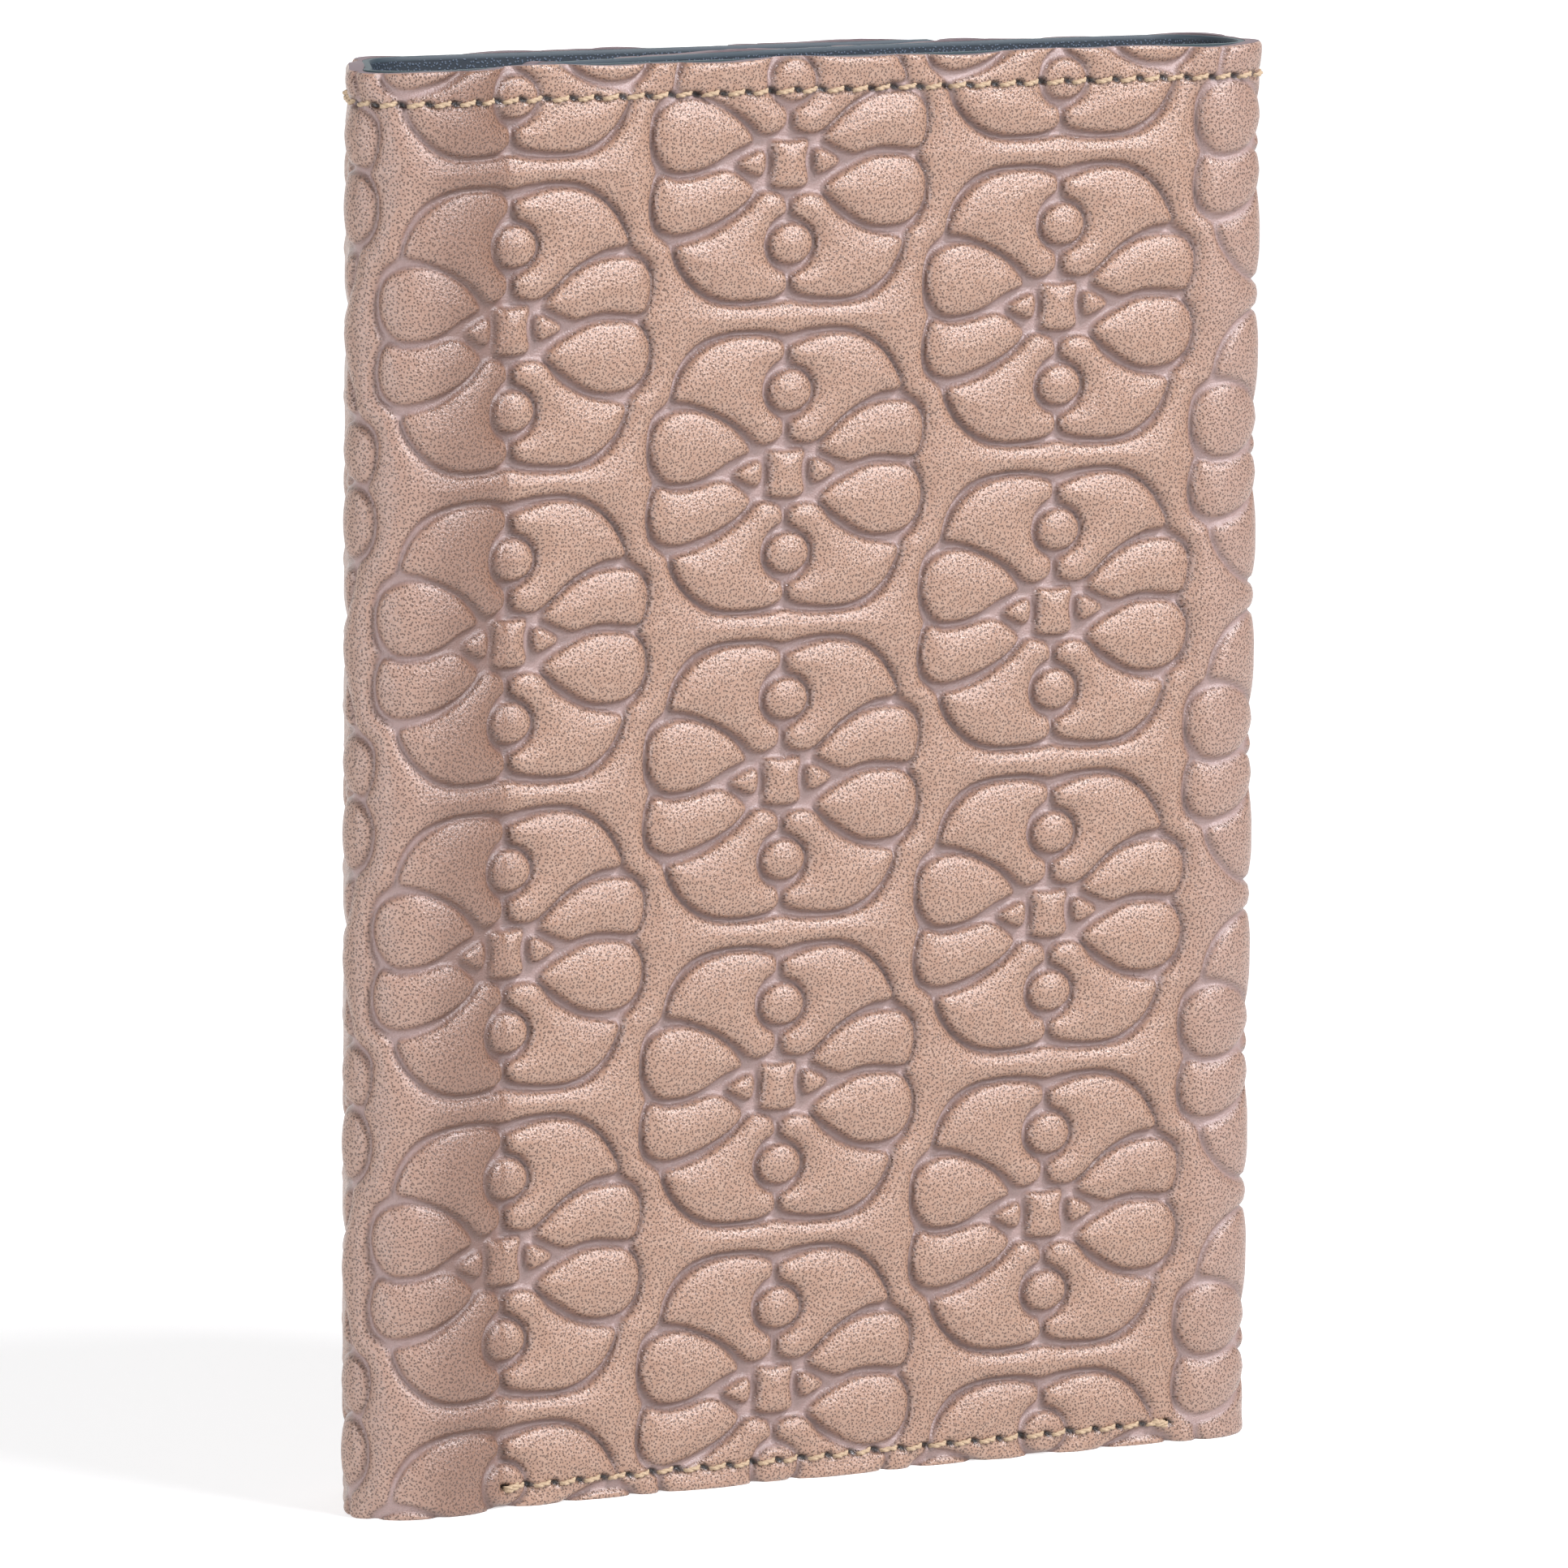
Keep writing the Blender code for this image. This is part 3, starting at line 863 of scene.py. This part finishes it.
def plain_material(name, colour, roughness, grain=0.0):
    n = Nodes(name)
    if grain:
        where = n.add("ShaderNodeTexCoord").outputs["Object"]
        n.bump(n.noise(where, grain, 3.0), 0.03 * MM)
    return n.set(Base_Color=colour, Roughness=roughness)


def thread_material():
    n = Nodes("waxed thread")
    where = n.add("ShaderNodeTexCoord").outputs["Object"]
    fibres = n.noise(where, 9000.0, 2.0)
    colour = n.mix(fibres, srgb(200, 178, 148), srgb(140, 118, 92))
    return n.set(Base_Color=colour, Roughness=0.65)


LEATHER = leather_material()
CUT_EDGE = cut_edge_material()
LINING_FACE = lining_material()
LINING_EDGE = plain_material("lining edge", srgb(52, 70, 74), 0.6)
SLEEVE = plain_material("pocket cloth", srgb(60, 74, 82), 0.7, 2500.0)
THREAD_MATERIAL = thread_material()

# Spacing of each piece's grid of points, in millimetres
FINE, COARSE = 0.25, 0.4
GRID = {"back_flap": COARSE, "left_fold": FINE, "front": FINE, "right_fold": 0.3, "inner_flap": COARSE}
for piece_name, grid_step in GRID.items():
    add_leather(piece_name, grid_step)
    add_lining(piece_name, 0.5)
add_top_threads()
add_bottom_threads()
add_edge_threads()
add_sleeve("front_sleeve", "front_panel")
add_sleeve("back_flap_sleeve", "back_flap")


def glowing_white(name, tone, glow):
    material = plain_material(name, (tone, tone, tone, 1), 0.9)
    shader = material.node_tree.nodes["Principled BSDF"]
    shader.inputs["Emission Color"].default_value = (1, 1, 1, 1)
    shader.inputs["Emission Strength"].default_value = glow
    return material


def fade_in_front(material, near, far, share):
    """Lowers a floor's glow in front of the cover, from the near to the far distance."""
    tree = material.node_tree
    position = tree.nodes.new("ShaderNodeSeparateXYZ")
    ramp = tree.nodes.new("ShaderNodeMapRange")
    glow = tree.nodes["Principled BSDF"].inputs["Emission Strength"]
    coordinates = tree.nodes.new("ShaderNodeTexCoord")
    tree.links.new(coordinates.outputs["Object"], position.inputs[0])
    tree.links.new(position.outputs["Y"], ramp.inputs["Value"])
    ramp.inputs["From Min"].default_value = -far
    ramp.inputs["From Max"].default_value = -near
    ramp.inputs["To Min"].default_value = share * glow.default_value
    ramp.inputs["To Max"].default_value = glow.default_value
    tree.links.new(ramp.outputs["Result"], glow)
    return material


STAGE_HALF = 3.0
BACKDROP_Y = 1.6


def add_floor():
    half = STAGE_HALF
    z = FLOOR_Z * MM
    corners = [(-half, -half, z), (half, -half, z), (half, half, z), (-half, half, z)]
    floor_white = fade_in_front(glowing_white("floor", 0.5, 0.62), 0.15, 0.5, 0.2)
    floor = add_mesh("floor", corners, [(0, 1, 2, 3)], [floor_white])
    wall_y = BACKDROP_Y
    corners = [(-half, wall_y, -1), (half, wall_y, -1), (half, wall_y, half), (-half, wall_y, half)]
    backdrop = add_mesh("backdrop", corners, [(0, 1, 2, 3)], [glowing_white("backdrop", 0.5, 1.0)])


# Each light: where it hangs in metres, its diameter in metres and its power in watts
LIGHTS = {
    "key": ((0.45, -0.6, 1.0), 0.26, 14.0),
    "sheen": ((0.38, -0.85, 0.62), 0.3, 8.0),
    "fill": ((-0.9, -0.4, 0.3), 0.4, 5.6),
}


def add_light(name, position, size, power, target):
    data = bpy.data.lights.new(name, "AREA")
    data.shape = "DISK"
    data.size = size
    data.energy = power
    data.color = (0.97, 0.95, 1.0)
    light = bpy.data.objects.new(name, data)
    bpy.context.scene.collection.objects.link(light)
    light.location = position
    aim = Vector(target) - Vector(position)
    light.rotation_euler = aim.to_track_quat("-Z", "Y").to_euler()


def add_lighting():
    world = bpy.data.worlds.new("studio")
    bpy.context.scene.world = world
    world.use_nodes = True
    world.node_tree.nodes["Background"].inputs["Color"].default_value = (1, 1, 1, 1)
    world.node_tree.nodes["Background"].inputs["Strength"].default_value = 0.1
    middle = (0, 0, HEIGHT / 2 * MM)
    for name, (position, size, power) in LIGHTS.items():
        add_light(name, position, size, power, middle)


# The camera, in millimetres from the front panel's left bottom corner, and its angles in degrees
CAMERA_AT = (-489.0, -966.5, 224.2)
CAMERA_TURN, CAMERA_DOWN, CAMERA_ROLL = 28.23, 8.04, 0.44
CAMERA_LENS = 260.9


def add_camera():
    azimuth, down, roll = (math.radians(a) for a in (CAMERA_TURN, CAMERA_DOWN, CAMERA_ROLL))
    forward = Vector(
        (math.sin(azimuth) * math.cos(down), math.cos(azimuth) * math.cos(down), -math.sin(down))
    )
    right = Vector((math.cos(azimuth), -math.sin(azimuth), 0))
    up = right.cross(forward)
    tilted_right = math.cos(roll) * right + math.sin(roll) * up
    tilted_up = -math.sin(roll) * right + math.cos(roll) * up
    data = bpy.data.cameras.new("camera")
    data.sensor_width = 36.0
    data.lens = CAMERA_LENS
    data.clip_start, data.clip_end = 0.05, 10.0
    camera = bpy.data.objects.new("camera", data)
    bpy.context.scene.collection.objects.link(camera)
    corner = Vector((ORIGIN_X, ORIGIN_Y, FLOOR_Z))
    matrix = Matrix((tilted_right, tilted_up, -forward)).transposed().to_4x4()
    matrix.translation = (Vector(CAMERA_AT) + corner) * MM
    camera.matrix_world = matrix
    bpy.context.scene.camera = camera


add_floor()
add_lighting()
add_camera()
bpy.context.scene.view_settings.view_transform = "Standard"

bpy.context.view_layer.update()
